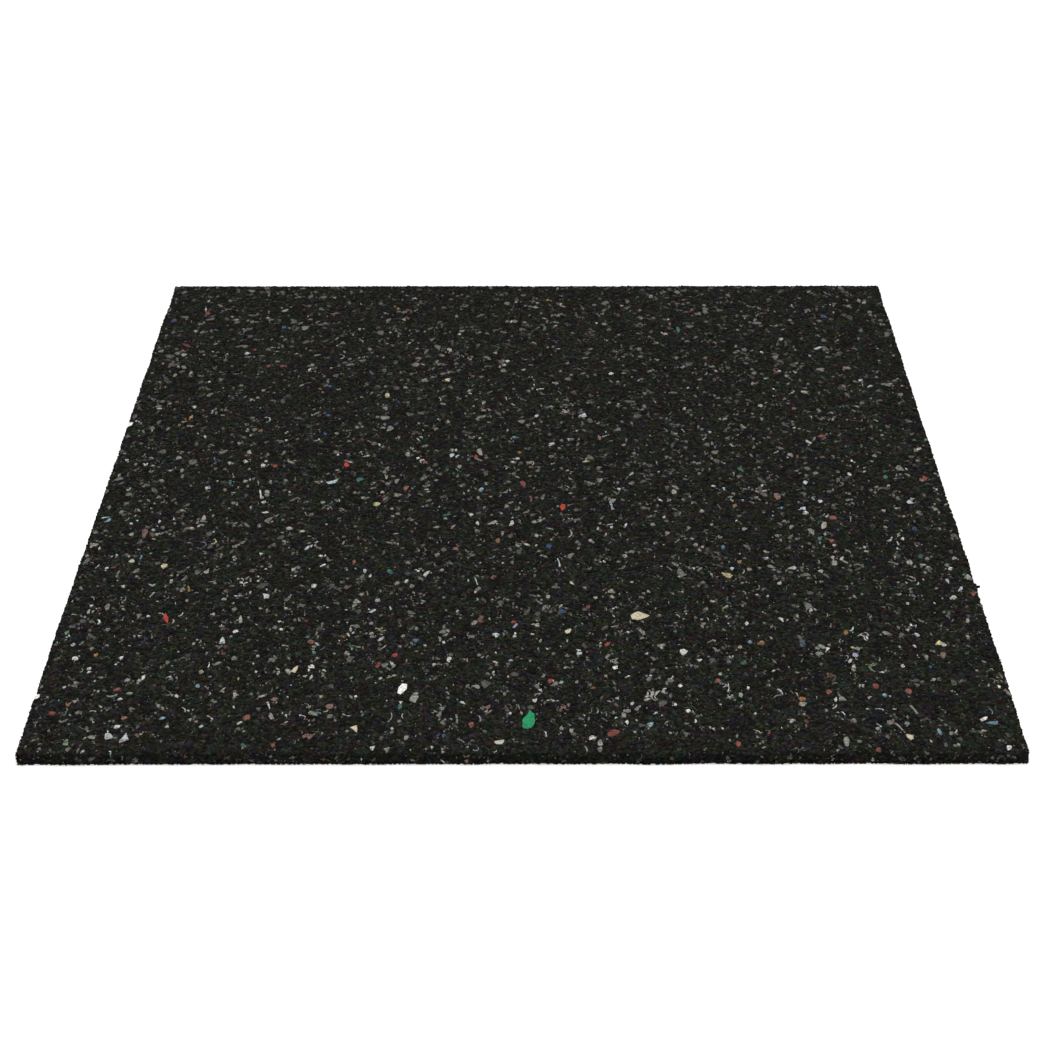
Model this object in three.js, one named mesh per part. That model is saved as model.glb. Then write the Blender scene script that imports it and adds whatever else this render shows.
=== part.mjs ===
// A flat square mat of bonded rubber granulate. Recycled crumb is pressed with a binder into a sheet,
// and the mat is cut from it in one piece, with square edges. Two lumps of crumb are torn out of its
// left edge, through the whole thickness.
// Millimetres, +Z up. The origin is the middle of the underside, and the front edge faces -Y.

import * as THREE from 'three';

// The cut mat
const sideLength = 600;
const sheetThickness = 8.5;
const cornerRadius = 1.2; // the knife leaves sharp corners, which crumble to a small round
const arrisRadius = 0.6; // the same wear along the top and bottom arrises

// The torn-out lump near the middle of the left edge
const middleBiteFromCentre = 74.5; // from the middle of the edge towards the back
const middleBiteLength = 8;
const middleBiteDepth = 4;

// The torn-out lump near the front of the left edge
const frontBiteFromCorner = 54;
const frontBiteLength = 6;
const frontBiteDepth = 3.6;

// Roundness of what is drawn as curves
const curveSegments = 6;
const arrisSegments = 2;

const halfSide = sideLength / 2;

const crumbRubber = new THREE.MeshStandardMaterial({
  name: 'crumb_rubber',
  color: 0x1e1f1c,
  roughness: 0.92,
  metalness: 0,
});

// Goes down the left edge past one bite, as a bowl that is deepest in its middle.
function addBite(outline, middleY, length, depth) {
  const backY = middleY + length / 2;
  const frontY = middleY - length / 2;
  const pull = (4 / 3) * depth; // a cubic curve reaches 3/4 of the way to its two handles
  const handleX = -halfSide + pull;
  outline.lineTo(-halfSide, backY);
  outline.bezierCurveTo(handleX, backY, handleX, frontY, -halfSide, frontY);
}

// The mat's outline seen from above, anticlockwise from the front edge.
function matOutline() {
  const cornerCentre = halfSide - cornerRadius;
  const quarterTurn = Math.PI / 2;
  const outline = new THREE.Shape();
  outline.absarc(cornerCentre, -cornerCentre, cornerRadius, -quarterTurn, 0);
  outline.absarc(cornerCentre, cornerCentre, cornerRadius, 0, quarterTurn);
  outline.absarc(-cornerCentre, cornerCentre, cornerRadius, quarterTurn, 2 * quarterTurn);
  addBite(outline, middleBiteFromCentre, middleBiteLength, middleBiteDepth);
  addBite(outline, -halfSide + frontBiteFromCorner, frontBiteLength, frontBiteDepth);
  outline.absarc(-cornerCentre, -cornerCentre, cornerRadius, 2 * quarterTurn, 3 * quarterTurn);
  outline.closePath();
  return outline;
}

// The sheet: the outline at its full size between two rounded arrises.
function makeRubberMat() {
  const geometry = new THREE.ExtrudeGeometry(matOutline(), {
    depth: sheetThickness - 2 * arrisRadius,
    curveSegments,
    bevelEnabled: true,
    bevelThickness: arrisRadius,
    bevelSize: arrisRadius,
    bevelOffset: -arrisRadius,
    bevelSegments: arrisSegments,
  });
  geometry.translate(0, 0, arrisRadius);
  const mat = new THREE.Mesh(geometry, crumbRubber);
  mat.name = 'rubber_mat';
  return mat;
}

const part = new THREE.Group();
part.add(makeRubberMat());

export default part;
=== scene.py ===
import math

import bpy
import numpy as np
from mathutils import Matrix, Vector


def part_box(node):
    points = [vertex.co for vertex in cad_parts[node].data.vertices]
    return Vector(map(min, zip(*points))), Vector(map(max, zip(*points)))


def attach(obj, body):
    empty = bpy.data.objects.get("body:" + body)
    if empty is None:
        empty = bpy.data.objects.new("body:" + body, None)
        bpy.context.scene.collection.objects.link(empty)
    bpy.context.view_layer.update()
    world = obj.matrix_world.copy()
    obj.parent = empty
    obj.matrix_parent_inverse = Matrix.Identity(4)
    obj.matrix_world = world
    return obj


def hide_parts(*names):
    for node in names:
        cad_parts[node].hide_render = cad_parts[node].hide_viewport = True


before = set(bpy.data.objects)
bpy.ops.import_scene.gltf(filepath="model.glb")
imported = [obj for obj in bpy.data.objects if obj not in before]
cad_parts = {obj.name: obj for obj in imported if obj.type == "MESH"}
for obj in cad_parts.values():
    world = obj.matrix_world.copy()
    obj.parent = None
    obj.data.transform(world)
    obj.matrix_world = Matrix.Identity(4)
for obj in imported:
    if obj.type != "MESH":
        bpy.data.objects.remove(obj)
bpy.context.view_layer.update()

# THE CUT SHEET
# A square cut from a sheet of recycled rubber crumb, pressed together with a clear binder. This body is
# the fine black crumb between the coarse ones: it lies a little below them on every face, and it is
# pitted all over. Two lumps are torn out of its left edge.
MM = 0.001
mat_low, mat_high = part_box("rubber_mat")
side = mat_high.x - mat_low.x
thickness = mat_high.z - mat_low.z
half = side / 2

# How far the fine crumb lies below the cut faces, and the grid that it is modelled from
skin_depth = 0.6 * MM
underside_depth = 0.42 * MM
skin_cells = 266
edge_rows = 4
underside_cells = 88
underside_rim = 3 * MM
core_side = side - 2 * skin_depth
core_low = underside_depth
core_high = thickness - skin_depth

# How far its points are pushed out of the grid, its pits, and the long waves that the press leaves
point_scatter = 0.62 * MM
flat_share = 0.2
pit_size = 2.6 * MM
pit_depth = 0.42 * MM
wave_length = 45 * MM
wave_height = 0.25 * MM

# The torn spots, as in the cut sheet: how far back their middle is, their length and their depth
torn_spots = [(74.5 * MM, 8 * MM, 4 * MM), (-246 * MM, 6 * MM, 3.6 * MM)]
torn_corners = 14
torn_raggedness = 0.3 * MM

# The knife wandered a little as it cut the four sides: how far each runs in or out along its length
wander_size = 0.26 * MM
wander_reach = 8 * MM
wander_stops = 41
wander_places = np.linspace(-half, half, wander_stops)
side_wander = np.random.default_rng(8).normal(0, wander_size, (2, 2, wander_stops))


def deselect_all():
    if bpy.context.object and bpy.context.object.mode == "EDIT":
        bpy.ops.object.mode_set(mode="OBJECT")
    bpy.ops.object.select_all(action="DESELECT")


def read_points(mesh):
    points = np.empty(len(mesh.vertices) * 3, np.float32)
    mesh.vertices.foreach_get("co", points)
    return points.reshape(-1, 3).astype(float)


def wander(points):
    """Moves the points that lie near a side in or out with the knife's wandering."""
    for axis in (0, 1):
        for number, direction in enumerate((-1, 1)):
            near_side = np.clip((direction * points[..., axis] - half) / wander_reach + 1, 0, 1)
            shift = np.interp(points[..., 1 - axis], wander_places, side_wander[axis, number])
            points[..., axis] += direction * near_side * shift


def choose_points(piece, wanted):
    """Leaves only those points selected for the next edit-mode operator that wanted(x, y, z) accepts."""
    bpy.ops.object.mode_set(mode="OBJECT")
    mesh = piece.data
    mesh.vertices.foreach_set("select", wanted(*read_points(mesh).T))
    mesh.edges.foreach_set("select", np.zeros(len(mesh.edges), bool))
    mesh.polygons.foreach_set("select", np.zeros(len(mesh.polygons), bool))
    bpy.ops.object.mode_set(mode="EDIT")
    bpy.ops.mesh.select_mode(type="VERT")


deselect_all()
bpy.ops.mesh.primitive_grid_add(
    x_subdivisions=underside_cells,
    y_subdivisions=underside_cells,
    size=core_side - 2 * underside_rim,
    location=(0, 0, core_low),
)
underside_skin = bpy.context.object
bpy.ops.object.mode_set(mode="EDIT")
bpy.ops.mesh.flip_normals()
deselect_all()
bpy.ops.mesh.primitive_grid_add(
    x_subdivisions=skin_cells, y_subdivisions=skin_cells, size=core_side, location=(0, 0, core_high)
)
mat_body = bpy.context.object
mat_body.name = "mat_body"
bpy.ops.object.mode_set(mode="EDIT")
bpy.ops.mesh.select_mode(type="EDGE")
bpy.ops.mesh.select_all(action="SELECT")
bpy.ops.mesh.region_to_loop()
row_height = (core_high - core_low) / edge_rows
for row in range(edge_rows):
    bpy.ops.mesh.extrude_region_move(TRANSFORM_OT_translate={"value": (0, 0, -row_height)})
bpy.ops.object.mode_set(mode="OBJECT")
underside_skin.select_set(True)
bpy.ops.object.join()
bpy.ops.object.transform_apply(location=True, rotation=True, scale=True)
bpy.ops.object.mode_set(mode="EDIT")
bpy.ops.mesh.select_mode(type="EDGE")
bpy.ops.mesh.select_all(action="DESELECT")
bpy.ops.mesh.select_non_manifold(
    extend=False,
    use_boundary=True,
    use_wire=False,
    use_multi_face=False,
    use_non_contiguous=False,
    use_verts=False,
)
bpy.ops.mesh.bridge_edge_loops()
bpy.ops.mesh.select_all(action="SELECT")
bpy.ops.mesh.normals_make_consistent(inside=False)

# Crumb has no grid in it: every point is pushed sideways, and those of the two faces hardly up or down.
near = 0.01 * MM
for level in (core_low, core_high):
    choose_points(mat_body, lambda x, y, z: abs(z - level) < near)
    bpy.ops.transform.vertex_random(offset=point_scatter, seed=7)
    bpy.ops.transform.resize(value=(1, 1, flat_share))
edge_low = core_low + 2 * point_scatter
edge_high = core_high - 2 * point_scatter
choose_points(mat_body, lambda x, y, z: (z > edge_low) & (z < edge_high))
bpy.ops.transform.vertex_random(offset=0.6 * point_scatter, seed=11)
bpy.ops.object.mode_set(mode="OBJECT")

pits = bpy.data.textures.new("crumb_pits", type="VORONOI")
pits.noise_scale = pit_size
waves = bpy.data.textures.new("pressing_waves", type="CLOUDS")
waves.noise_scale = wave_length
for texture, strength in ((pits, pit_depth), (waves, wave_height)):
    relief = mat_body.modifiers.new(texture.name, "DISPLACE")
    relief.texture = texture
    relief.texture_coords = "LOCAL"
    relief.strength = strength
    relief.mid_level = 0.5
    bpy.ops.object.modifier_apply(modifier=relief.name)
body_points = read_points(mat_body.data)
wander(body_points)
mat_body.data.vertices.foreach_set("co", body_points.ravel())

# Each torn spot is cut a little smaller than the real one, because ragged crumb stands round it.
for middle, length, depth in torn_spots:
    deselect_all()
    bpy.ops.mesh.primitive_cylinder_add(
        vertices=torn_corners,
        radius=0.5,
        depth=1,
        location=(-half, middle, thickness / 2),
        scale=(1.9 * depth, 0.9 * length, 2 * thickness),
    )
    torn_out = bpy.context.object
    bpy.ops.object.transform_apply(location=True, rotation=True, scale=True)
    bpy.ops.object.mode_set(mode="EDIT")
    bpy.ops.mesh.select_all(action="SELECT")
    bpy.ops.transform.vertex_random(offset=torn_raggedness, seed=3)
    deselect_all()
    mat_body.select_set(True)
    bpy.context.view_layer.objects.active = mat_body
    cut = mat_body.modifiers.new("torn_spot", "BOOLEAN")
    cut.operation = "DIFFERENCE"
    cut.solver = "EXACT"
    cut.object = torn_out
    bpy.ops.object.modifier_apply(modifier=cut.name)
    bpy.data.objects.remove(torn_out)


def linear(code):
    """Turns an sRGB hex colour into the linear one that the nodes take."""
    shares = [int(code[place:place + 2], 16) / 255 for place in (1, 3, 5)]
    curved = [share / 12.92 if share <= 0.04045 else ((share + 0.055) / 1.055) ** 2.4 for share in shares]
    return curved + [1.0]


def start_material(name):
    material = bpy.data.materials.new(name)
    material.use_nodes = True
    material.node_tree.nodes.clear()
    return material


def add_node(material, kind, settings, inputs):
    """Adds a node. An input is a value, or a node and one of its outputs. Stops are a ramp's colours."""
    node = material.node_tree.nodes.new("ShaderNode" + kind)
    for name, value in settings.items():
        if name == "stops":
            while len(node.color_ramp.elements) < len(value):
                node.color_ramp.elements.new(1.0)
            for element, (place, code) in zip(node.color_ramp.elements, value):
                element.position = place
                element.color = linear(code)
        else:
            setattr(node, name, value)
    for name, value in inputs.items():
        if isinstance(value, tuple):
            material.node_tree.links.new(value[0].outputs[value[1]], node.inputs[name])
        else:
            node.inputs[name].default_value = value
    return node


# Tyre crumb, cut and torn: matt black rubber whose grains differ a little in tone and hue, with grit on
# every face and a fine dust of the light crumb pressed into it. The grains, the grit and the dust are
# drawn about as coarse as the real ones, and a draw above dust_above puts a speck into a dust cell.
granule_size = 1.5 * MM
crumb_tone_share = 0.35
hue_patch = 8.0 * MM
hue_swing = [0.95, 0.95, 1.3]
hue_level = [0.525, 0.525, 0.33]
grit_size = 0.7 * MM
grit_height = 0.12 * MM
dust_gap = 1.15 * MM
dust_above = 0.945
black_tones = [
    (0.05, "#0d0d0c"), (0.3, "#131311"), (0.5, "#181916"),
    (0.7, "#1d1e1b"), (0.93, "#292924"), (1.0, "#2f2f2a"),
]
dust_tones = [(0.0, "#3f3f3c"), (0.45, "#63625d"), (0.75, "#8e8d86"), (0.78, "#56403a"), (1.0, "#6d5349")]


def make_tyre_rubber(name, tone_of_each_crumb):
    rubber = start_material(name)
    where = add_node(rubber, "TexCoord", {}, {})
    grain = add_node(
        rubber, "TexVoronoi", {}, {"Vector": (where, "Object"), "Scale": 1 / granule_size}
    )
    grain_draw = add_node(rubber, "SeparateColor", {}, {"Color": (grain, "Color")})
    grain_tone = (grain_draw, "Red")
    if tone_of_each_crumb:
        crumb_tone = add_node(rubber, "Attribute", {"attribute_name": "crumb_tone"}, {})
        mixed_tone = add_node(
            rubber, "Mix", {},
            {0: crumb_tone_share, 2: grain_tone, 3: (crumb_tone, "Fac")},
        )
        grain_tone = (mixed_tone, "Result")
    tone = add_node(rubber, "ValToRGB", {"stops": black_tones}, {"Fac": grain_tone})
    hue = add_node(
        rubber, "TexNoise", {},
        {"Vector": (where, "Object"), "Scale": 1 / hue_patch, "Detail": 0.5},
    )
    hue_shade = add_node(
        rubber, "VectorMath", {"operation": "MULTIPLY_ADD"},
        {0: (hue, "Color"), 1: hue_swing, 2: hue_level},
    )
    hued = add_node(
        rubber, "VectorMath", {"operation": "MULTIPLY"},
        {0: (tone, "Color"), 1: (hue_shade, "Vector")},
    )
    grit = add_node(
        rubber, "TexNoise", {},
        {"Vector": (where, "Object"), "Scale": 1 / grit_size, "Detail": 2.0},
    )
    grit_shade = add_node(
        rubber, "MapRange", {},
        {"Value": (grit, "Fac"), "From Min": 0.3, "From Max": 0.7, "To Min": 0.62, "To Max": 1.38},
    )
    gritty = add_node(
        rubber, "VectorMath", {"operation": "SCALE"},
        {0: (hued, "Vector"), "Scale": (grit_shade, "Result")},
    )
    dust = add_node(
        rubber, "TexVoronoi", {}, {"Vector": (where, "Object"), "Scale": 1 / dust_gap}
    )
    dust_draw = add_node(rubber, "SeparateColor", {}, {"Color": (dust, "Color")})
    dust_size = add_node(
        rubber, "MapRange", {},
        {"Value": (dust_draw, "Green"), "From Min": dust_above, "To Min": 0.05, "To Max": 0.42},
    )
    dust_spot = add_node(
        rubber, "Math", {"operation": "LESS_THAN"},
        {0: (dust, "Distance"), 1: (dust_size, "Result")},
    )
    dust_colour = add_node(
        rubber, "ValToRGB", {"stops": dust_tones}, {"Fac": (dust_draw, "Blue")}
    )
    dusty = add_node(
        rubber, "Mix", {"data_type": "RGBA"},
        {0: (dust_spot, "Value"), 6: (gritty, "Vector"), 7: (dust_colour, "Color")},
    )
    bump = add_node(
        rubber, "Bump", {}, {"Height": (grit, "Fac"), "Strength": 0.5, "Distance": grit_height}
    )
    matt = add_node(
        rubber, "MapRange", {}, {"Value": (grit, "Fac"), "To Min": 0.8, "To Max": 1.0}
    )
    surface = add_node(
        rubber, "BsdfPrincipled", {},
        {
            "Base Color": (dusty, "Result"),
            "Roughness": (matt, "Result"),
            "Specular IOR Level": 0.05,
            "Normal": (bump, "Normal"),
        },
    )
    add_node(rubber, "OutputMaterial", {}, {"Surface": (surface, "BSDF")})
    return rubber


mat_body.data.materials.clear()
mat_body.data.materials.append(make_tyre_rubber("pressed_tyre_granulate", tone_of_each_crumb=False))

# The map for the finish: the top face large, the underside small, each cut edge a strip.
top_share = 0.74
small_parts_start = 0.76
underside_share = 0.22
strip_share = 0.045
strip_step = 1.2 * strip_share
facing = 0.6
mesh = mat_body.data
corner_point = np.empty(len(mesh.loops), np.int32)
mesh.loops.foreach_get("vertex_index", corner_point)
face_size = np.empty(len(mesh.polygons), np.int32)
mesh.polygons.foreach_get("loop_total", face_size)
face_normal = np.empty(len(mesh.polygons) * 3, np.float32)
mesh.polygons.foreach_get("normal", face_normal)
normal = np.repeat(face_normal.reshape(-1, 3), face_size, axis=0)
place = read_points(mesh)[corner_point]
across = place[:, 0] / side + 0.5
back = place[:, 1] / side + 0.5
height = place[:, 2] / thickness
is_top = normal[:, 2] > facing
is_under = normal[:, 2] < -facing
faces_front_or_back = abs(normal[:, 1]) > abs(normal[:, 0])
strip = np.where(
    faces_front_or_back, np.where(normal[:, 1] < 0, 0, 1), np.where(normal[:, 0] < 0, 2, 3)
)
strip_along = np.where(faces_front_or_back, across, back)
map_u = np.select(
    [is_top, is_under],
    [across * top_share, small_parts_start + underside_share * across],
    strip_along * top_share,
)
map_v = np.select(
    [is_top, is_under],
    [back * top_share, underside_share * back],
    small_parts_start + strip_step * strip + strip_share * height,
)
bake_map = mesh.uv_layers.new(name="OFBake")
bake_map.data.foreach_set("uv", np.stack([map_u, map_v], 1).ravel())

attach(mat_body, "root")
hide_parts("rubber_mat")

# THE FACES OF THE SHEET
# Crumb shows on all six faces and along the arrises. Each face has its two directions and a raster
# that says where a crumb already lies, so that no crumb is set into another.
raster = 0.4 * MM
raster_rim = 12
arris_width = 1.6 * MM


def make_face(out, across, width, height):
    out = np.array(out, float)
    up = np.cross(out, across)
    middle = np.array((0, 0, thickness / 2)) + out * np.array((half, half, thickness / 2))
    rows, columns = (round(size / raster) + 2 * raster_rim for size in (height, width))
    return {
        "middle": middle,
        "out": out / np.linalg.norm(out),
        "across": np.array(across, float),
        "up": up / np.linalg.norm(up),
        "width": width,
        "height": height,
        "taken": np.zeros((rows, columns), bool),
    }


top_face = make_face((0, 0, 1), (1, 0, 0), side, side)
underside_face = make_face((0, 0, -1), (1, 0, 0), side, side)
edge_faces = []
top_arrises = []
bottom_arrises = []
left = 2  # the four sides are made in the order front, back, left and right
for out, along in (((0, -1), (1, 0)), ((0, 1), (-1, 0)), ((-1, 0), (0, -1)), ((1, 0), (0, 1))):
    edge_faces.append(make_face((*out, 0), (*along, 0), side, thickness))
    top_arrises.append(make_face((*out, 1), (*along, 0), side - arris_width, arris_width))
    bottom_arrises.append(make_face((*out, -1), (*along, 0), side - arris_width, arris_width))
left_faces = [faces[left] for faces in (edge_faces, top_arrises, bottom_arrises)]


def block_bed(face, u, v, length, width):
    """Keeps crumbs out of a stretch of a face."""
    rows, columns = face["taken"].shape
    row = np.arange(rows)[:, None] * raster - (rows * raster) / 2
    column = np.arange(columns)[None, :] * raster - (columns * raster) / 2
    face["taken"] |= ((column - u) / (length / 2)) ** 2 + ((row - v) / (width / 2)) ** 2 < 1


for middle, length, depth in torn_spots:
    bed_length = 0.95 * length
    for face, direction in ((top_face, 1), (underside_face, -1)):
        block_bed(face, -half, direction * middle, 2 * depth, bed_length)
    for face in left_faces:
        block_bed(face, -middle, 0, bed_length, 4 * thickness)

# THE SHAPES OF THE CRUMB
# Rubber that is ground and torn breaks into angular grains, flat flakes, and now and then a strand or a
# curl. Each shape is modelled once, one unit long and wide, with its cut face on top.
torn_walk = 0.29
point_start = 0.22
point_narrowing = 1.6

# Each crumb has its own square cell of the bake map: where the cut face and the torn sides start in it,
# and how much of it they fill
cut_start, cut_fill = 0.05, 0.76
torn_start, torn_fill = 0.86, 0.1


def take_shape(crumb):
    """Reads a modelled crumb as triangles, scaled to one unit each way, and removes it."""
    bpy.ops.object.mode_set(mode="EDIT")
    bpy.ops.mesh.select_all(action="SELECT")
    bpy.ops.mesh.quads_convert_to_tris()
    bpy.ops.mesh.normals_make_consistent(inside=False)
    bpy.ops.object.mode_set(mode="OBJECT")
    bpy.ops.object.transform_apply(location=True, rotation=True, scale=True)
    points = read_points(crumb.data)
    low, high = points.min(0), points.max(0)
    points = (points - (low + high) / 2) / (high - low) - (0, 0, 0.5)
    triangles = np.array([face.vertices[:] for face in crumb.data.polygons])
    corners = points[triangles]
    faces_up = np.cross(corners[:, 1] - corners[:, 0], corners[:, 2] - corners[:, 0])[:, 2] > 0
    fill = np.where(faces_up[:, None, None], cut_fill, torn_fill)
    start = np.where(faces_up[:, None, None], cut_start, torn_start)
    bpy.data.objects.remove(crumb)
    return {"points": points, "triangles": triangles, "cell_map": start + fill * (corners[:, :, :2] + 0.5)}


def start_crumb(corners, walk, seed):
    """Adds a prism one unit wide and high, with its cut face at the origin, and shakes its corners."""
    deselect_all()
    bpy.ops.mesh.primitive_cylinder_add(vertices=corners, radius=0.5, depth=1, location=(0, 0, -0.5))
    bpy.ops.object.transform_apply(location=True, rotation=True, scale=True)
    bpy.ops.object.mode_set(mode="EDIT")
    bpy.ops.mesh.select_all(action="SELECT")
    bpy.ops.transform.vertex_random(offset=walk, seed=seed)
    return bpy.context.object


def model_grain(corners, crown, seed):
    """An angular grain: a few torn sides that lean in towards its cut face."""
    grain = start_crumb(corners, torn_walk, seed)
    choose_points(grain, lambda x, y, z: z > -0.5)
    bpy.ops.transform.resize(value=(crown, crown, 0.12))
    return take_shape(grain)


def model_flake(corners, seed, point=0.0, ragged=0.2):
    """A larger flake: an uneven outline, a rounded rim and a face that is a little uneven too."""
    flake = start_crumb(corners, ragged, seed)
    choose_points(flake, lambda x, y, z: z > -0.5)
    bpy.ops.transform.resize(value=(0.93, 0.93, 0.0))
    bpy.ops.mesh.select_mode(type="FACE")
    for shrink, rise in ((0.86, 0.12), (0.6, 0.03)):
        bpy.ops.mesh.extrude_region_move(TRANSFORM_OT_translate={"value": (0, 0, rise)})
        bpy.ops.transform.resize(value=(shrink, shrink, 1))
    bpy.ops.mesh.poke()
    choose_points(flake, lambda x, y, z: z > z.max() - 0.1)
    bpy.ops.transform.vertex_random(offset=0.05, seed=seed + 1)
    if point:
        choose_points(flake, lambda x, y, z: x > point_start)
        bpy.ops.transform.resize(value=(1, 1 - point_narrowing * point, 1))
        bpy.ops.transform.translate(value=(point, 0, 0))
    return take_shape(flake)


def model_strand(steps, bend, seed):
    """A thin strand or a curl: a short bar drawn out step by step along an arc."""
    deselect_all()
    bpy.ops.mesh.primitive_plane_add(size=1, rotation=(0, math.radians(-90), 0))
    strand = bpy.context.object
    strand.scale = (0.9, 0.34, 1)
    bpy.ops.object.transform_apply(location=True, rotation=True, scale=True)
    bpy.ops.object.mode_set(mode="EDIT")
    bpy.ops.mesh.select_all(action="SELECT")
    for step in range(steps):
        heading = bend * ((step + 0.5) / steps - 0.5)
        move = (math.cos(heading), math.sin(heading), 0)
        bpy.ops.mesh.extrude_region_move(TRANSFORM_OT_translate={"value": move})
    bpy.ops.mesh.select_all(action="SELECT")
    bpy.ops.transform.vertex_random(offset=0.07, seed=seed)
    choose_points(strand, lambda x, y, z: z > 0)
    bpy.ops.transform.resize(value=(0.97, 0.85, 0.4))
    return take_shape(strand)


small_shapes = [0, 1, 2]
middle_shapes = [3, 4, 5, 6, 7]
flake_shapes = [8, 9, 10, 11]
strand_shapes = [12, 13]
curl_shapes = [14, 15]
wedge_shape = 16
leaf_shape = 17
crumb_shapes = [model_grain(3, 0.85, 21), model_grain(4, 0.8, 22), model_grain(4, 0.84, 29)]
for corners, seed in ((3, 33), (4, 34), (4, 38), (5, 35), (6, 36)):
    crumb_shapes.append(model_grain(corners, 0.86, seed))
for corners in (6, 7, 8, 9):
    crumb_shapes.append(model_flake(corners, 40 + corners))
for steps, bend, seed in ((3, 0.5, 51), (4, 0.9, 52), (5, 2.6, 53), (6, 3.4, 54)):
    crumb_shapes.append(model_strand(steps, bend, seed))
crumb_shapes.append(model_flake(12, 61, point=0.32))
crumb_shapes.append(model_flake(16, 64, point=0.12, ragged=0.13))

# SETTING THE CRUMB
# The press lays the crumb every which way, as close as it goes. Crumbs are drawn at random, the largest
# are set first, and each is left out where its bed is taken. The knife has cut those at the faces flat.
draw = np.random.default_rng(1959)
crumb_fields = ("u", "v", "length", "width", "turn", "level", "root", "tone", "uneven")
crumb_row = np.dtype([(name, float) for name in crumb_fields] + [("shape", int), ("family", int)])
lie_of_the_grain = 0.8  # spread about the sheet's length, in radians: rolling lays long crumbs that way
middle_size = 1.7 * MM
usual_unevenness = 1.3
smooth_below = 0.5
smooth_jitter = 0.03
torn_jitter = 0.17
stand_out = 0.3 * MM  # no crumb that the knife has cut stands out of its side by more than this
stand_up = 0.15 * MM
lowest_point = 0.02 * MM


def draw_crumbs(face, count, median, spread, smallest, largest, thinnest):
    """Draws crumbs with many small and few large sizes, turned every way, anywhere on a face."""
    crumbs = np.zeros(count, crumb_row)
    across = np.clip(median * np.exp(spread * draw.standard_normal(count)), smallest, largest)
    stretch = 1 + (1 / thinnest - 1) * draw.random(count) ** 2
    crumbs["length"] = across * np.sqrt(stretch)
    crumbs["width"] = across / np.sqrt(stretch)
    crumbs["turn"] = draw.normal(math.pi / 2, lie_of_the_grain, count)
    crumbs["u"] = draw.uniform(-0.5, 0.5, count) * face["width"]
    crumbs["v"] = draw.uniform(-0.5, 0.5, count) * face["height"]
    crumbs["tone"] = draw.random(count)
    crumbs["uneven"] = usual_unevenness
    crumbs["shape"] = draw.choice(small_shapes, count)
    crumbs["shape"] = np.where(across > middle_size, draw.choice(middle_shapes, count), crumbs["shape"])
    return crumbs


def set_crumbs(face, crumbs, overhang, bed_share=1.0):
    """Keeps the crumbs that lie within the face and find their bed free, and takes those beds."""
    cosine, sine = np.cos(crumbs["turn"]), np.sin(crumbs["turn"])
    reach_u = np.hypot(cosine * crumbs["length"], sine * crumbs["width"]) / 2
    reach_v = np.hypot(sine * crumbs["length"], cosine * crumbs["width"]) / 2
    inside = abs(crumbs["u"]) + reach_u < face["width"] / 2 + overhang
    inside &= abs(crumbs["v"]) + reach_v < face["height"] / 2 + overhang
    rows, columns = face["taken"].shape
    kept = []
    for index in np.argsort(-crumbs["length"], kind="stable"):
        if not inside[index]:
            continue
        crumb = crumbs[index]
        reach = int(crumb["length"] / 2 / raster) + 1
        row = int(crumb["v"] / raster + rows / 2)
        column = int(crumb["u"] / raster + columns / 2)
        near_rows = slice(max(row - reach, 0), row + reach + 1)
        near_columns = slice(max(column - reach, 0), column + reach + 1)
        spot = face["taken"][near_rows, near_columns]
        beside, along = np.ogrid[-reach:reach + 1, -reach:reach + 1]
        beside = beside[max(reach - row, 0):][:spot.shape[0]]
        along = along[:, max(reach - column, 0):][:, :spot.shape[1]]
        bed = ((along * cosine[index] + beside * sine[index]) * 2 * raster / crumb["length"]) ** 2
        bed = bed + ((beside * cosine[index] - along * sine[index]) * 2 * raster / crumb["width"]) ** 2
        bed = bed < bed_share ** 2
        if not (spot & bed).any():
            spot |= bed
            kept.append(index)
    return crumbs[kept]


def place_crumbs(face, crumbs, tilt, is_cut=True):
    """Works out where the middle of each crumb's cut face lies, and its three directions at full size."""
    turn = crumbs["turn"][:, None]
    along = np.cos(turn) * face["across"] + np.sin(turn) * face["up"]
    beside = np.cos(turn) * face["up"] - np.sin(turn) * face["across"]
    tip = tilt * draw.uniform(-1, 1, (2, len(crumbs), 1))
    out = face["out"] + tip[0] * along + tip[1] * beside
    along = along - tip[0] * face["out"]
    beside = beside - tip[1] * face["out"]
    middle = face["middle"] + crumbs["u"][:, None] * face["across"] + crumbs["v"][:, None] * face["up"]
    directions = [
        along * crumbs["length"][:, None],
        beside * crumbs["width"][:, None],
        out * crumbs["root"][:, None],
    ]
    return {
        "middle": middle + crumbs["level"][:, None] * face["out"],
        "directions": np.stack(directions, 1),
        "tone": crumbs["tone"],
        "uneven": crumbs["uneven"],
        "shape": crumbs["shape"],
        "reach": np.full(len(crumbs), half + stand_out if is_cut else np.inf),
    }


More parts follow.
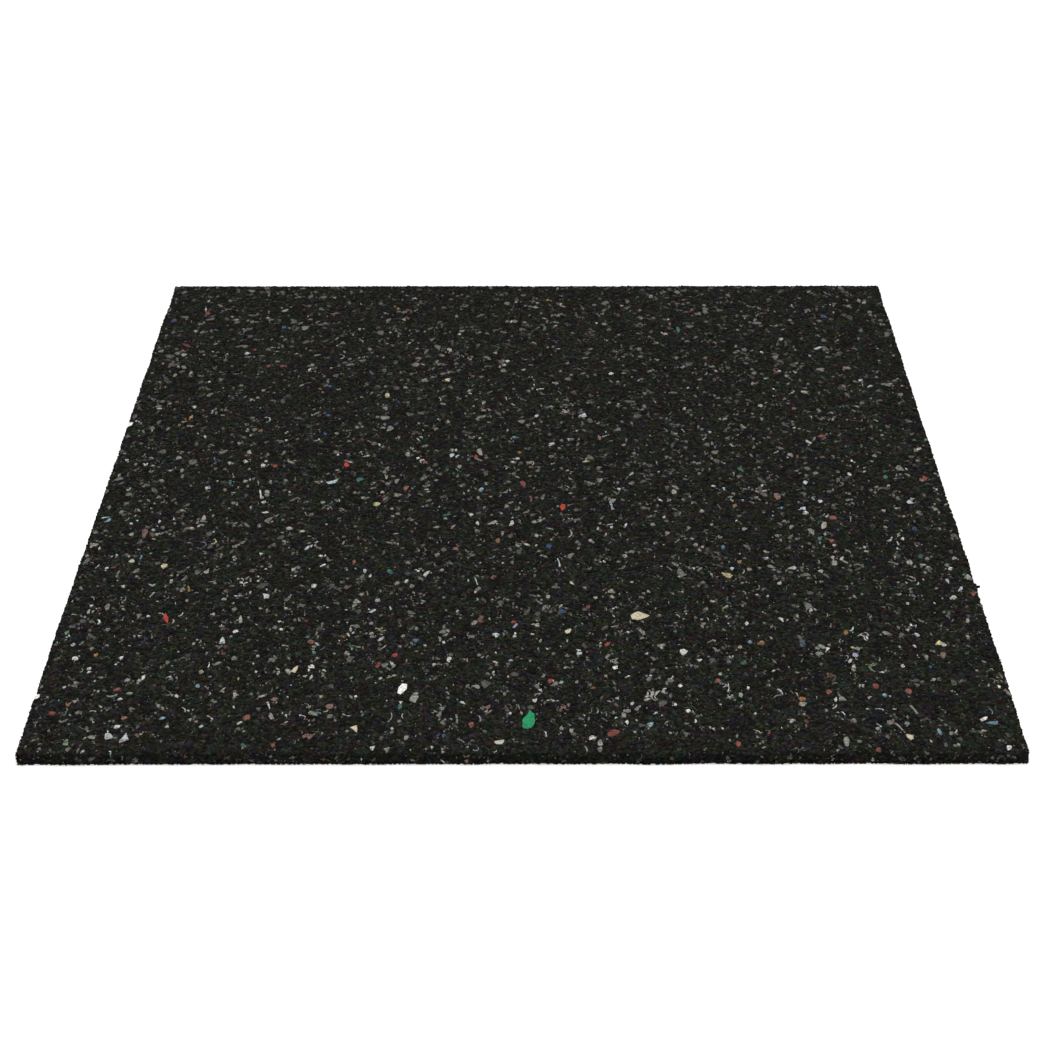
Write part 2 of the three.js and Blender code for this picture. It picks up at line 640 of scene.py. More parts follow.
def form_crumbs(bed, points):
    """Gives each crumb of a bed its own uneven outline, from the points of their one shape, in place."""
    count = len(bed["tone"])
    unit = points[None] * np.ones((count, 1, 1))
    uneven = bed["uneven"]
    jitter = np.where(uneven < smooth_below, smooth_jitter, torn_jitter)[:, None, None]
    unit[:, :, :2] *= 1 + jitter * draw.uniform(-1, 1, (count, len(points), 2))
    wedge, bow = uneven[:, None] * draw.uniform(-1, 1, (2, count, 1))
    unit[:, :, 1] = unit[:, :, 1] * (1 + wedge * unit[:, :, 0]) + bow * (unit[:, :, 0] ** 2 - 0.12)
    placed = bed["middle"][:, None] + np.einsum("cpk,ckx->cpx", unit, bed["directions"])
    placed[:, :, 2] = np.clip(placed[:, :, 2], lowest_point, thickness + stand_up)
    reach = bed["reach"][:, None, None]
    placed[:, :, :2] = np.clip(placed[:, :, :2], -reach, reach)
    wander(placed)
    return placed


def join_crumbs(name, beds, material):
    """Joins placed crumbs into one closed mesh each crumb of which has its own cell in the bake map."""
    cells = math.ceil(math.sqrt(sum(len(bed["tone"]) for bed in beds)))
    points, triangles, tones, cell_maps = [], [], [], []
    point_count = 0
    crumb_count = 0
    for bed in beds:
        for number in np.unique(bed["shape"]):
            shape = crumb_shapes[number]
            shape_points = len(shape["points"])
            alike = {field: rows[bed["shape"] == number] for field, rows in bed.items()}
            count = len(alike["tone"])
            points.append(form_crumbs(alike, shape["points"]).reshape(-1, 3))
            first_point = point_count + shape_points * np.arange(count)
            triangles.append((shape["triangles"][None] + first_point[:, None, None]).reshape(-1, 3))
            tones.append(np.repeat(alike["tone"], shape_points))
            cell = crumb_count + np.arange(count)
            corner = np.stack([cell % cells, cell // cells], 1)[:, None, None]
            cell_maps.append(((shape["cell_map"][None] + corner) / cells).reshape(-1, 2))
            point_count += count * shape_points
            crumb_count += count
    mesh = bpy.data.meshes.new(name)
    mesh.from_pydata(np.concatenate(points), [], np.concatenate(triangles))
    crumb_tone = mesh.attributes.new("crumb_tone", "FLOAT", "POINT")
    crumb_tone.data.foreach_set("value", np.concatenate(tones))
    mesh.uv_layers.new(name="OFBake").data.foreach_set("uv", np.concatenate(cell_maps).ravel())
    mesh.materials.append(material)
    piece = bpy.data.objects.new(name, mesh)
    bpy.context.scene.collection.objects.link(piece)
    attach(piece, "root")
    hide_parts("rubber_mat")


# THE COLOURED CRUMB
# Coloured rubber, foam and plastic ground up with the tyres: white and grey most of all, then brick red,
# sand, green and blue. The ones that stand out lie where this mat has them.
root_depth = 1.3 * MM
light_share = {"grey": 0.695, "white": 0.262, "brick": 0.028, "sand": 0.006, "green": 0.003, "blue": 0.006}
# On the cut edges the light crumb is mostly grey with few white: painted shade, as the sides get less light
# than the top
painted_shade_edge_share = {"grey": 0.76, "white": 0.05, "brick": 0.15, "sand": 0.02, "green": 0.01, "blue": 0.01}
families = list(light_share)
light_crumbs = {family: [] for family in families}
flush = 0.2 * MM  # a crumb may reach this far past the face that it lies in

# Rubber paler than this is clean; noted crumbs are set a little smaller and duller than they look
clean_tone = 0.97
noted_trim = 0.79
noted_dulling = 0.9
any_shape = -1
noted_units = {"u": MM, "v": MM, "length": MM, "width": MM, "turn": math.radians(1), "tone": 1, "shape": 1}

# Place from the middle of the mat, length, width, turn from the front edge in degrees and tone, and the
# number of the shape of those that aren't just any grain or flake
noted_crumbs = {
    "white": [
        (-74.5, -239.5, 13.5, 7, 70, 1.0, 8), (10.4, -241, 4, 3.5, 80, 0.9, 3),
        (57, -219, 6, 5, 60, 0.95), (101, -203, 9, 7, 95, 0.8, 10), (-192, -191, 9, 4.5, 98, 0.6, 8),
        (-237, -285.5, 11, 9, 250, 0.55, 3), (-247.5, -283.5, 8, 6, 110, 0.5),
        (211, -180, 7, 2, 60, 0.55, 12), (8, 85, 8, 4, 60, 0.9), (-9, -59, 9, 4, 80, 0.8, 8),
        (-33, -59, 7, 3, 100, 0.9, 4), (-32, -127, 12, 1.4, 104, 0.7, 12),
        (-188.2, -22, 13, 2.2, 102, 0.75, 12), (-182, -45, 7, 4.5, 10, 0.9),
        (-147, 177, 9, 5, 95, 0.6, 14), (-195, 80, 10, 6, 100, 0.5, 15),
        (201.8, -7.6, 8, 4.5, 80, 0.6, 10), (-290, -89, 5.5, 2.6, 88, 0.95, 5),
        (260, -78.5, 5.5, 3, 88, 0.95, 4), (-65.3, -118.7, 10, 3.6, 65, 0.6),
        (23.3, -106, 12, 2, 100, 0.6, 12), (-226.5, -171, 6, 2, 95, 0.85, 12),
        (-274.5, -171.5, 6, 2.6, 98, 0.7, 12), (126.5, -239, 10, 2, 85, 0.6, 13),
        (226.5, -277, 12, 1.8, 118, 0.4, 12), (-246.5, -249.5, 5, 3.6, 10, 0.7, 5),
        (-236, -228, 7, 4, 80, 0.9, 5), (-132.5, -217.5, 5, 5.5, 90, 0.95),
        (-155, -255.5, 9, 2.2, 110, 0.6, 12), (96.5, -237, 5, 4, 80, 0.9, 4),
        (62.5, -271.5, 6, 4, 85, 0.8), (100, -261, 5, 4.5, 80, 0.85, 4), (-89, -294.5, 6, 4, 80, 0.8),
        (288, -294.5, 6, 4, 80, 0.9), (237, -218, 5, 4, 70, 0.8, 4), (143.5, -174, 6, 3.5, 80, 0.8),
        (-253.5, -209, 5, 4, 80, 0.95, 4), (191, -250.5, 6, 3, 80, 0.85, 4),
        (158.5, -243, 8, 2.4, 110, 0.6, 12), (-47, -210.5, 7, 4, 80, 0.75), (7, -251, 5, 4, 80, 0.9, 4),
    ],
    "grey": [
        (-66.5, -247.5, 12, 6.5, 80, 0.8, 8), (86, -243, 5, 4, 100, 0.8, 4),
        (207.6, -62.5, 12, 5, 75, 0.95), (198.3, -69.4, 13, 5, 105, 0.7, 10),
        (31.7, -72, 12, 3.6, 85, 0.8, 13), (-32, -173, 7, 5, 70, 0.8),
        (-218.8, -116.7, 10, 6, 95, 0.25, 10), (106.3, -19.4, 8, 6, 90, 0.9, 11),
        (-274, 180, 8, 6, 95, 0.9, 10), (237.5, -260, 11, 3, 110, 0.75, 12),
        (-40, -268, 11, 2.6, 95, 0.7, 12), (192.5, -289, 11, 4.5, 85, 0.8),
        (119, -212, 8, 5, 70, 0.3, 10), (85, -254, 9, 7, 60, 0.2, 11), (200, -8, 8, 5, 80, 0.8),
        (187, -205.5, 8, 6, 80, 0.6, 10), (-80.5, -296, 7, 5, 80, 0.8), (-69.5, -285, 7, 4, 80, 0.7),
        (-14, -289, 8, 6, 20, 1.0, 11), (82, -244, 8, 3, 60, 0.9, 4), (76, -250, 7, 4, 20, 0.95, 5),
        (46, -290, 8, 4, 95, 0.8), (46, -296, 8, 4, 90, 0.65, 10), (-80, -267, 11, 2.6, 80, 0.75, 13),
        (-252, -246, 9, 3, 15, 0.8, 13), (-26, -268, 8, 2.4, 100, 0.7, 12),
    ],
    "brick": [
        (-232, -168, 14, 4.2, 108, 1.0, 4), (26.7, -39.6, 11, 4.5, 88, 1.0),
        (-1.1, -9, 13, 5, 108, 0.85, 10), (-265, 251, 8, 6, 90, 0.95), (-204, 162, 6, 5, 90, 0.9),
        (-193, 162, 6, 5, 90, 0.9, 10), (-130, 16, 8, 5, 100, 1.0), (-182, 15, 7, 5, 90, 0.95, 10),
        (54, -281, 10, 8, 40, 0.88, 11), (288, -2, 9, 5, 85, 0.9), (16.5, -232, 6.5, 4, 80, 0.92),
        (-31, -273.5, 8, 4, 95, 0.8), (-85, -14, 10, 4.5, 92, 0.75, 10), (221, 56, 8, 6, 20, 0.85, 11),
        (55, 54, 10, 4, 100, 0.6), (215.3, -52.8, 9, 7, 40, 0.75, 10), (179, -26, 12, 7, 100, 0.5, 11),
        (-115.3, -105.6, 9, 3.6, 88, 0.8), (210.7, -80.6, 8, 4.5, 100, 0.8, 10),
        (-36, 27, 8, 3.5, 92, 0.95), (296, -142, 9, 3.6, 85, 0.8, 4), (-46.8, -90, 6, 5, 30, 0.6, 10),
        (43, -239, 5, 4, 20, 0.85), (237, -242.5, 7, 5, 80, 0.8), (-7, -172, 5, 4, 30, 0.9),
        (120.5, -232, 7, 5, 75, 0.8, 10), (-28, -169, 11, 4, 75, 0.35),
        (-262.5, -72, 15, 6, 95, 0.45, 11), (187.5, -243, 7, 5, 80, 0.85),
        (4.2, -28.5, 9, 3, 95, 0.7, 12), (-250, -240, 6, 4, 30, 0.8), (-241, -267, 6, 5, 90, 0.7, 10),
        (-285.5, -263, 5, 5, 90, 0.9), (-166.5, -266.5, 8, 6, 80, 0.75, 10),
        (-152.5, -249, 7, 6, 20, 0.6), (-148, -291.5, 7, 5, 80, 0.78), (-81, -206, 6, 5, 80, 0.95),
        (-91, -216, 8, 3.6, 80, 0.9), (53, -196, 6, 4, 60, 0.9), (265, -207, 10, 5, 85, 0.55, 10),
        (217.5, -237.5, 6, 5, 80, 0.9), (128, -292, 7, 4, 80, 0.85), (-135.5, -193, 7, 6, 10, 0.78, 10),
        (-21.5, -257.5, 7, 4, 80, 0.6), (26, -298, 6, 5, 80, 0.85), (-118, -256.5, 6, 6, 30, 0.6),
        (210.5, -296.5, 6, 4, 80, 0.85), (42, -156, 5, 4, 80, 0.85),
    ],
    "sand": [
        (76, -165, 14.5, 11.5, 5, 1.0, 16), (28.5, -181.5, 7.5, 5.5, 60, 0.98, 16),
        (-107, 116, 9, 4.5, 95, 0.75), (-61, 140, 7, 6, 110, 0.95, 10),
        (135, -120.6, 10, 6, 140, 0.78, 16), (44, 21, 7, 3.5, 10, 0.9),
        (-104.2, -34.7, 8, 7, 95, 0.8, 10), (147.6, -37.8, 8, 5, 80, 0.12),
        (-254, 83, 10, 3.6, 80, 0.28, 4), (-257.5, 77, 7, 3, 10, 0.25, 5),
        (-242.4, -110.4, 8, 5, 95, 0.9), (-212.8, -81.5, 8, 6, 80, 0.9, 14),
        (171, -250, 7, 6, 60, 0.12, 10), (206.5, -183, 9, 5, 80, 0.15),
        (230.5, -285, 7, 5.5, 120, 0.98, 16), (-18.3, -79.9, 8, 4, 92, 0.1),
        (-222, -135.5, 9, 3, 105, 0.3, 12), (-105, -32, 6, 4, 90, 0.5),
        (-101.5, -276.5, 8, 6.5, 80, 0.98, 3), (-142.5, -220, 8, 3.4, 70, 0.98),
        (151.5, -194, 6, 5, 60, 0.15), (-270, -206, 5, 4, 90, 0.25, 4), (264.5, -194, 6, 5, 80, 0.85),
        (137, -198, 5, 4.5, 80, 0.9),
    ],
    "green": [
        (3.3, -269.5, 22.8, 10.6, 80, 1.0, 17), (124, 222, 12, 5, 95, 0.7, 16),
        (-119.2, -2.8, 8, 6, 90, 0.55, 10), (260, 0, 7, 5, 85, 0.8), (-90, -116, 10, 5.5, 110, 0.75),
        (-211.8, -7.6, 9, 3, 100, 0.5), (202.8, -77.8, 6, 4, 95, 0.6), (-75, -257, 6, 4, 90, 0.6),
        (224, -211, 5, 2, 80, 0.1, 12), (254, -98.6, 9, 4, 85, 0.35, 10), (268.8, -98.9, 8, 4, 85, 0.4),
        (-53, 225, 8, 4, 60, 0.3), (-293, -183, 6, 4, 90, 0.1), (-271.5, -289, 7, 4, 90, 0.1),
        (260.5, -287, 6, 5, 80, 0.35), (133.5, -246, 6, 4, 80, 0.03), (-242, -244, 5, 3, 20, 0.1),
    ],
    "blue": [
        (17, -86.8, 8, 5.5, 95, 0.1, 10), (282, -272.5, 10, 3.6, 6, 0.62),
        (23.3, -233.3, 5, 4.5, 40, 0.9), (-5.5, -176, 6, 3, 60, 1.0, 12), (135.7, -87.8, 8, 4.5, 80, 0.5),
        (178, -196, 6, 4, 85, 0.2), (-242.5, -192, 13, 3, 80, 0.3, 13), (209.5, -207, 7, 6, 20, 1.0, 10),
        (-201, -236.5, 5, 4.5, 80, 0.7), (-218, -267, 6, 4, 20, 0.8), (144, -193, 5, 4, 85, 0.8),
        (222, -246, 5, 4.5, 85, 0.8), (-259.7, -100, 6, 2, 88, 0.65, 12), (270, -66, 6, 4, 85, 0.3),
        (-219.4, -84.7, 8, 4.5, 100, 0.95, 15), (-31.3, -16.4, 7, 4, 70, 0.75),
        (-291, 238, 8, 5, 90, 0.15), (61.1, -38, 8, 2.6, 95, 0.85, 12), (-296, -258, 4, 3, 80, 0.1, 5),
        (-98, -277, 5, 3, 80, 0.5), (76.5, -273.5, 7, 5, 80, 0.8),
    ],
}

for family, notes in noted_crumbs.items():
    crumbs = np.zeros(len(notes), crumb_row)
    columns = zip(*((*note, any_shape)[:len(noted_units)] for note in notes))
    for (field, unit), column in zip(noted_units.items(), columns):
        crumbs[field] = [value * unit for value in column]
    crumbs["length"] *= noted_trim
    crumbs["width"] *= noted_trim
    crumbs["level"] = draw.uniform(-0.02, 0.06, len(notes)) * MM
    crumbs["tone"] *= np.where(crumbs["tone"] < clean_tone, noted_dulling, 1)
    crumbs["root"] = root_depth
    crumbs["uneven"] = np.where(crumbs["shape"] == leaf_shape, 0.2, 0.9)
    is_plain = crumbs["shape"] == any_shape
    crumbs["shape"] = np.where(is_plain, draw.choice([4, 5, 6, 7, 8, 9], len(notes)), crumbs["shape"])
    light_crumbs[family].append(place_crumbs(top_face, set_crumbs(top_face, crumbs, flush), 0.01))


def add_to_families(face, crumbs, tilt):
    for number, family in enumerate(families):
        light_crumbs[family].append(place_crumbs(face, crumbs[crumbs["family"] == number], tilt))


def fray(u, v, reach, rays, tone, family):
    """Strands that lie about one point every which way, where a bit of foam or fabric is frayed."""
    strands = np.zeros(rays, crumb_row)
    stray = draw.uniform(-0.45, 0.45, rays)
    heading = draw.uniform(0, 2 * math.pi) + 2 * math.pi * (np.arange(rays) + stray) / rays
    strands["length"] = reach * draw.uniform(0.6, 1.1, rays)
    strands["width"] = draw.uniform(1.4, 2.8, rays) * MM
    away = (0.34 + 0.5 * abs(stray)) * strands["length"]
    strands["turn"] = heading + 3 * stray
    strands["u"] = u + np.cos(heading) * away
    strands["v"] = v + np.sin(heading) * away
    strands["level"] = -0.1 * MM
    strands["root"] = root_depth
    strands["tone"] = tone * draw.uniform(0.7, 1.0, rays)
    strands["uneven"] = 1.0
    strands["shape"] = draw.choice(strand_shapes, rays)
    strands["family"] = families.index(family)
    return strands


# Place, reach, number of strands, tone and kind of the frayed bits that stand out, then small loose ones
noted_frays = [
    (218, -187, 5, 7, 0.5, "white"), (218.5, -218, 6, 6, 0.12, "green"), (25, -258, 5, 3, 0.55, "brick"),
    (79, -247, 6, 14, 1.0, "grey"), (-128, -284, 4.5, 5, 0.5, "brick"), (57, -212, 4.5, 4, 0.8, "grey"),
    (-92, -180, 4, 5, 0.5, "sand"), (190.5, -227.5, 4, 4, 0.4, "brick"), (192, -289, 5, 5, 0.5, "brick"),
    (-31, -16, 4, 5, 0.5, "white"), (126, -237, 4, 5, 0.6, "white"), (30, 92, 4, 5, 0.5, "white"),
]
frays = [
    fray(u * MM, v * MM, reach * MM, rays, tone, family) for u, v, reach, rays, tone, family in noted_frays
]
loose_frays = 45
fray_families = ["grey", "white", "white", "brick"]
for number in range(loose_frays):
    middle_u, middle_v = draw.uniform(-0.96, 0.96, 2) * half
    family = draw.choice(fray_families)
    reach = draw.uniform(1.8, 3) * MM
    frays.append(fray(middle_u, middle_v, reach, draw.integers(2, 5), draw.random(), family))
add_to_families(top_face, set_crumbs(top_face, np.concatenate(frays), flush, 0.5), 0.03)

# How the light crumb is mixed: the shares of thin strands and of curls, the share that lies in lumps and
# how many of a lump are alike, and how much duller it gets from the front of the mat to its back
strand_share = 0.085
curl_share = 0.012
lump_share = 0.54
alike_share = 0.55
dulling_to_back = 0.8
flake_size = 4 * MM
bright_size = 2.8 * MM
dim_size = 1.3 * MM
dim_tone = 0.66
sunk_size = 1.8 * MM


def change_some(crumbs, chosen, **values):
    """Gives the chosen crumbs new values in the named fields."""
    for field, value in values.items():
        crumbs[field] = np.where(chosen, value, crumbs[field])


def scatter_light_crumbs(face, count, overhang, largest, palest, shares, fewer_at_back=0.0):
    """Scatters light crumb over a face: loose grains, strands and curls, and lumps broken into a few."""
    grains = draw_crumbs(
        face, count, median=1.6 * MM, spread=0.36, smallest=1.25 * MM, largest=largest, thinnest=0.36
    )
    grains["family"] = draw.choice(len(families), count, p=list(shares.values()))
    way_back = grains["v"] / face["height"]
    towards_back = fewer_at_back * (way_back + 0.5)
    grains["length"] *= 1 + 1.5 * towards_back
    grains["width"] *= 1 + 1.5 * towards_back

    # Fewer lie at the front edge, and fewer towards the back, than in the stretch between.
    thinned = np.interp(way_back, (-0.5, -0.25, 0.5), (0.5, 0.2, 0.75))
    is_left_out = draw.random(count) < thinned * fewer_at_back
    # White crumb turns grey more often towards the back of the mat.
    greys_towards_back = (grains["family"] == families.index("white")) & (draw.random(count) < 1.2 * towards_back)
    change_some(grains, greys_towards_back, family=families.index("grey"))

    # The second half of the crumbs may join one of the first half, with which they broke off one lump.
    lumps = count // 2
    lump = draw.integers(0, lumps, count)
    in_lump = (np.arange(count) >= lumps) & (draw.random(count) < lump_share)
    away = draw.uniform(0, 2 * math.pi, count)
    step = (0.62 + 0.4 * draw.random(count)) * (grains["length"][lump] + grains["length"]) / 2
    change_some(
        grains,
        in_lump,
        u=grains["u"][lump] + np.cos(away) * step,
        v=grains["v"][lump] + np.sin(away) * step,
        tone=0.4 * grains["tone"] + 0.6 * grains["tone"][lump],
    )
    is_alike = in_lump & (draw.random(count) < alike_share)
    change_some(grains, is_alike, family=grains["family"][lump])
    is_left_out = np.where(in_lump, is_left_out[lump], is_left_out)
    towards_back = np.where(in_lump, towards_back[lump], towards_back)

    change_some(grains, grains["length"] > flake_size, shape=draw.choice(flake_shapes, count))
    is_strand = draw.random(count) < strand_share
    change_some(
        grains,
        is_strand,
        shape=draw.choice(strand_shapes, count),
        length=draw.uniform(2.5, 5.5, count) * MM,
        width=draw.uniform(1.0, 1.6, count) * MM,
    )
    is_curl = draw.random(count) < curl_share
    change_some(
        grains, is_curl, shape=draw.choice(curl_shapes, count), length=draw.uniform(3, 4.5, count) * MM
    )
    change_some(grains, is_curl, width=grains["length"] * 0.55)
    sunk = np.where(grains["length"] < sunk_size, 0.35 * MM, 0.15 * MM)
    grains["level"] = 0.06 * MM - sunk * draw.random(count)
    grains["root"] = root_depth
    dimmed = np.interp(grains["length"], (dim_size, bright_size), (dim_tone, 1.0))
    grains["tone"] = (palest - dulling_to_back * towards_back) * dimmed * grains["tone"] ** 1.25
    add_to_families(face, set_crumbs(face, grains[~is_left_out], overhang, 0.72), 0.05)


scatter_light_crumbs(
    top_face, 11400, overhang=flush, largest=4.4 * MM, palest=0.9, shares=light_share, fewer_at_back=0.55
)
scatter_light_crumbs(
    underside_face, 3200, overhang=-0.5 * MM, largest=5 * MM, palest=0.96, shares=light_share
)
# The light crumb on the cut edges is at most 0.6 pale and mostly grey: painted shade, for sides lit less
# than the top
for face in edge_faces:
    scatter_light_crumbs(face, 230, overhang=-0.1 * MM, largest=3.4 * MM, palest=0.6, shares=painted_shade_edge_share)

# Ground rubber and plastic, coloured through: matt, a little mottled, broken into fragments of slightly
# different tone, and smudged with black tyre dust and brown stain. Only the cleanest have no smudges.
light_tones = {
    "grey": [(0.0, "#343532"), (0.4, "#5f615b"), (0.75, "#898a81"), (1.0, "#aaa9a0")],
    "white": [(0.0, "#62615c"), (0.3, "#9a948a"), (0.55, "#afb8ba"), (0.8, "#c4c1b8"), (1.0, "#dedbd7")],
    "brick": [(0.0, "#3a231d"), (0.25, "#58362f"), (0.5, "#7a5f58"), (0.8, "#783e34"), (1.0, "#9c372b")],
    "sand": [(0.0, "#664832"), (0.25, "#987246"), (0.5, "#857b64"), (0.75, "#beb688"), (1.0, "#b4ab93")],
    "green": [(0.0, "#84997a"), (0.25, "#243a2f"), (0.5, "#33625d"), (0.8, "#326d5b"), (1.0, "#1a8254")],
    "blue": [(0.0, "#395583"), (0.3, "#253347"), (0.6, "#668c9b"), (0.8, "#8997a1"), (1.0, "#86839a")],
}
smudge_colour = "#20201e"
stain_colour = "#704a40"
mottle_size = 1.1 * MM
mottle_height = 0.1 * MM
fragment_size = 1.3 * MM


def make_light_crumb(name, tones):
    crumb = start_material(name)
    where = add_node(crumb, "TexCoord", {}, {})
    own_tone = add_node(crumb, "Attribute", {"attribute_name": "crumb_tone"}, {})
    tone = add_node(crumb, "ValToRGB", {"stops": tones}, {"Fac": (own_tone, "Fac")})
    mottle = add_node(
        crumb, "TexNoise", {},
        {"Vector": (where, "Object"), "Scale": 1 / mottle_size, "Detail": 3.0},
    )
    mottle_shade = add_node(
        crumb, "MapRange", {},
        {"Value": (mottle, "Fac"), "From Min": 0.3, "From Max": 0.7, "To Min": 0.55, "To Max": 1.3},
    )
    mottled = add_node(
        crumb, "VectorMath", {"operation": "SCALE"},
        {0: (tone, "Color"), "Scale": (mottle_shade, "Result")},
    )
    fragment = add_node(
        crumb, "TexVoronoi", {}, {"Vector": (where, "Object"), "Scale": 1 / fragment_size}
    )
    fragment_draw = add_node(crumb, "SeparateColor", {}, {"Color": (fragment, "Color")})
    fragment_shade = add_node(
        crumb, "MapRange", {}, {"Value": (fragment_draw, "Red"), "To Min": 0.55, "To Max": 1.15}
    )
    patched = add_node(
        crumb, "VectorMath", {"operation": "SCALE"},
        {0: (mottled, "Vector"), "Scale": (fragment_shade, "Result")},
    )
    patched = (patched, "Vector")
    for draw_name, strength, colour in (("Green", 0.75, smudge_colour), ("Blue", 0.45, stain_colour)):
        amount = add_node(
            crumb, "MapRange", {},
            {"Value": (fragment_draw, draw_name), "From Min": 0.85, "From Max": 0.95, "To Max": strength},
        )
        dirtied = add_node(
            crumb, "Mix", {"data_type": "RGBA"},
            {0: (amount, "Result"), 6: patched, 7: linear(colour)},
        )
        patched = (dirtied, "Result")
    is_clean = add_node(
        crumb, "Math", {"operation": "GREATER_THAN"}, {0: (own_tone, "Fac"), 1: clean_tone}
    )
    finish = add_node(
        crumb, "Mix", {"data_type": "RGBA"},
        {0: (is_clean, "Value"), 6: patched, 7: (mottled, "Vector")},
    )
    bump = add_node(
        crumb, "Bump", {},
        {"Height": (mottle, "Fac"), "Strength": 0.4, "Distance": mottle_height},
    )
    matt = add_node(
        crumb, "MapRange", {}, {"Value": (mottle, "Fac"), "To Min": 0.65, "To Max": 0.95}
    )
    surface = add_node(
        crumb, "BsdfPrincipled", {},
        {
            "Base Color": (finish, "Result"),
            "Roughness": (matt, "Result"),
            "Specular IOR Level": 0.3,
            "Normal": (bump, "Normal"),
        },
    )
    add_node(crumb, "OutputMaterial", {}, {"Surface": (surface, "BSDF")})
    return crumb


# THE TORN SPOTS AND THE TUFT
# A pale crumb is left in the bottom of each torn spot, held by the binder. On the right edge the knife
# has pulled a tuft of three black crumbs half out of the sheet.


def list_crumbs(rows):
    """Makes a table of crumbs from rows of all their fields, in order, and the number of their shape."""
    return np.array([(*row, 0) for row in rows], crumb_row)


torn_crumbs = list_crumbs([
    (-half + 0.45 * depth, middle, 0.95 * length, depth, math.radians(90), -0.3 * MM, 2.6 * MM, 1.0, 0.2, 9)
    for middle, length, depth in torn_spots
])
light_crumbs["white"].append(place_crumbs(top_face, torn_crumbs, 0.0))
tuft_crumbs = list_crumbs([
    (half, -133.6 * MM, 6.0 * MM, 3.6 * MM, 0.3, -0.3 * MM, 1.6 * MM, 0.3, 0.3, wedge_shape),
    (half - 0.4 * MM, -131.6 * MM, 3.0 * MM, 2.4 * MM, 1.1, -0.6 * MM, 2.4 * MM, 0.6, 0.5, 6),
    (half - 0.1 * MM, -136.0 * MM, 2.4 * MM, 2.0 * MM, 2.0, -1.2 * MM, 2.4 * MM, 0.1, 0.5, 4),
])

for family in families:
    light_rubber = make_light_crumb(f"ground_{family}_rubber", light_tones[family])
    join_crumbs(f"{family}_crumb", light_crumbs[family], light_rubber)

# THE BLACK CRUMB
# The coarse tyre crumb that the mat is mostly made of, held by the binder. The knife has cut it flat on
# the faces of the sheet and torn it along the arrises.
black_crumb = make_tyre_rubber("cut_tyre_crumb", tone_of_each_crumb=True)


def scatter_black_crumbs(face, count, median, largest, levels, overhang):
    crumbs = draw_crumbs(
        face, count, median, spread=0.3, smallest=1.3 * MM, largest=largest, thinnest=0.45
    )
    crumbs["level"] = draw.uniform(*levels, count)
    crumbs["root"] = root_depth
    return place_crumbs(face, set_crumbs(face, crumbs, overhang), 0.045)


# Each call gives the number of crumbs tried, their middle and largest size, the range of their levels
# and how far they may reach past the face.
top_black = scatter_black_crumbs(top_face, 60000, 2.9 * MM, 6 * MM, (-0.3 * MM, 0.02 * MM), flush)
is_front = top_black["middle"][:, 1] < 0
for name, chosen in (("front_black_crumb", is_front), ("back_black_crumb", ~is_front)):
    join_crumbs(name, [{field: rows[chosen] for field, rows in top_black.items()}], black_crumb)
edge_black = [place_crumbs(top_face, tuft_crumbs, 0.1, is_cut=False)]
for faces, count, median, largest, levels, overhang in (
    (edge_faces, 1500, 2.3 * MM, 4 * MM, (-0.3 * MM, 0.02 * MM), -0.05 * MM),
    (top_arrises, 700, 1.5 * MM, 2.0 * MM, (-0.8 * MM, -0.55 * MM), 0.8 * MM),
    (bottom_arrises, 900, 1.9 * MM, 2.4 * MM, (-0.2 * MM, 0.1 * MM), 0.8 * MM),
):
    for face in faces:
        edge_black.append(scatter_black_crumbs(face, count, median, largest, levels, overhang))
join_crumbs("edge_black_crumb", edge_black, black_crumb)
underside_levels = (-0.3 * MM, -0.02 * MM)
underside_black = scatter_black_crumbs(underside_face, 9000, 4 * MM, 8 * MM, underside_levels, -0.5 * MM)
join_crumbs("underside_black_crumb", [underside_black], black_crumb)

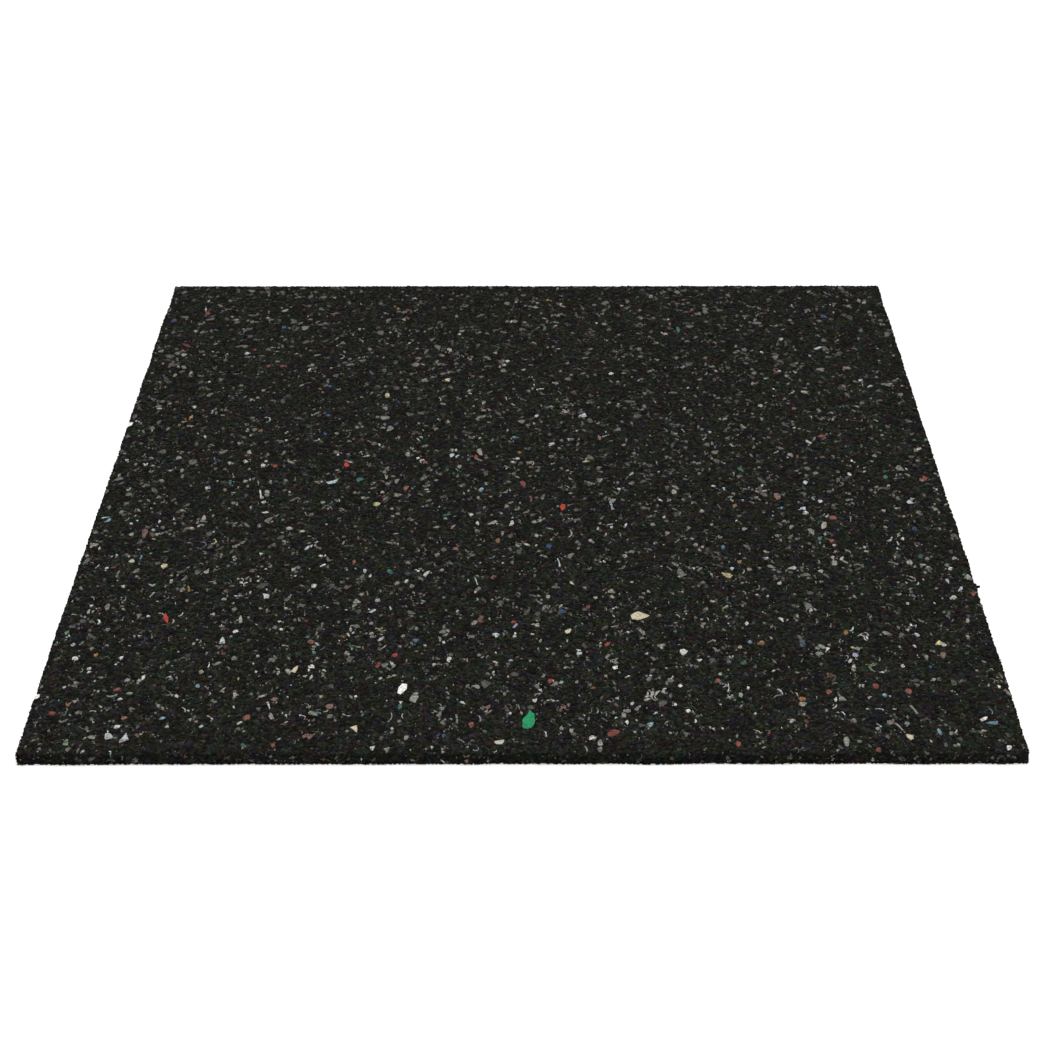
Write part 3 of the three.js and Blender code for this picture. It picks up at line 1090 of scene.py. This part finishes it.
# FLOOR AND LIGHT
# The mat lies on a wide pale painted floor, under soft light from straight above. The sky is white along
# the horizon, which fills the sides, and grey higher up.
floor_radius = 9
floor_colour = "#f6f6f5"
light_strength = 3.6
light_spread = math.radians(40)
sky_tones = [(0.0, "#ffffff"), (0.05, "#ffffff"), (0.2, "#6e6e6e")]

deselect_all()
bpy.ops.mesh.primitive_circle_add(vertices=96, radius=floor_radius, fill_type="NGON", location=(0, 0, 0))
floor = bpy.context.object
floor.name = "floor"
floor_paint = start_material("floor_paint")
floor_surface = add_node(
    floor_paint, "BsdfDiffuse", {}, {"Color": linear(floor_colour), "Roughness": 0.5}
)
add_node(floor_paint, "OutputMaterial", {}, {"Surface": (floor_surface, "BSDF")})
floor.data.materials.append(floor_paint)

deselect_all()
bpy.ops.object.light_add(type="SUN", location=(0, 0, 2))
overhead = bpy.context.object
overhead.name = "overhead_light"
overhead.data.energy = light_strength
overhead.data.angle = light_spread

sky = bpy.data.worlds.new("studio")
bpy.context.scene.world = sky
sky.use_nodes = True
sky.node_tree.nodes.clear()
look = add_node(sky, "TexCoord", {}, {})
look_height = add_node(sky, "SeparateXYZ", {}, {"Vector": (look, "Generated")})
sky_tone = add_node(sky, "ValToRGB", {"stops": sky_tones}, {"Fac": (look_height, "Z")})
background = add_node(sky, "Background", {}, {"Color": (sky_tone, "Color"), "Strength": 1.0})
add_node(sky, "OutputWorld", {}, {"Surface": (background, "Background")})

# CAMERA
# It stands in front of the mat, a little to the right of its middle, and looks down on it. Its place,
# pitch and lens are those that fit the four corners of the mat.
camera_place = (8.6 * MM, -1134.6 * MM, 736.0 * MM + thickness)
camera_pitch = math.radians(34.45)
camera_yaw = math.radians(0.097)
camera_lens = 64.23
camera_shift = -0.0139
deselect_all()
bpy.ops.object.camera_add(location=camera_place, rotation=(math.pi / 2 - camera_pitch, 0, -camera_yaw))
camera = bpy.context.object
camera.data.sensor_width = 36
camera.data.lens = camera_lens
camera.data.shift_x = camera_shift
camera.data.clip_start = 0.01
camera.data.clip_end = 50
bpy.context.scene.camera = camera
bpy.context.scene.view_settings.view_transform = "Standard"
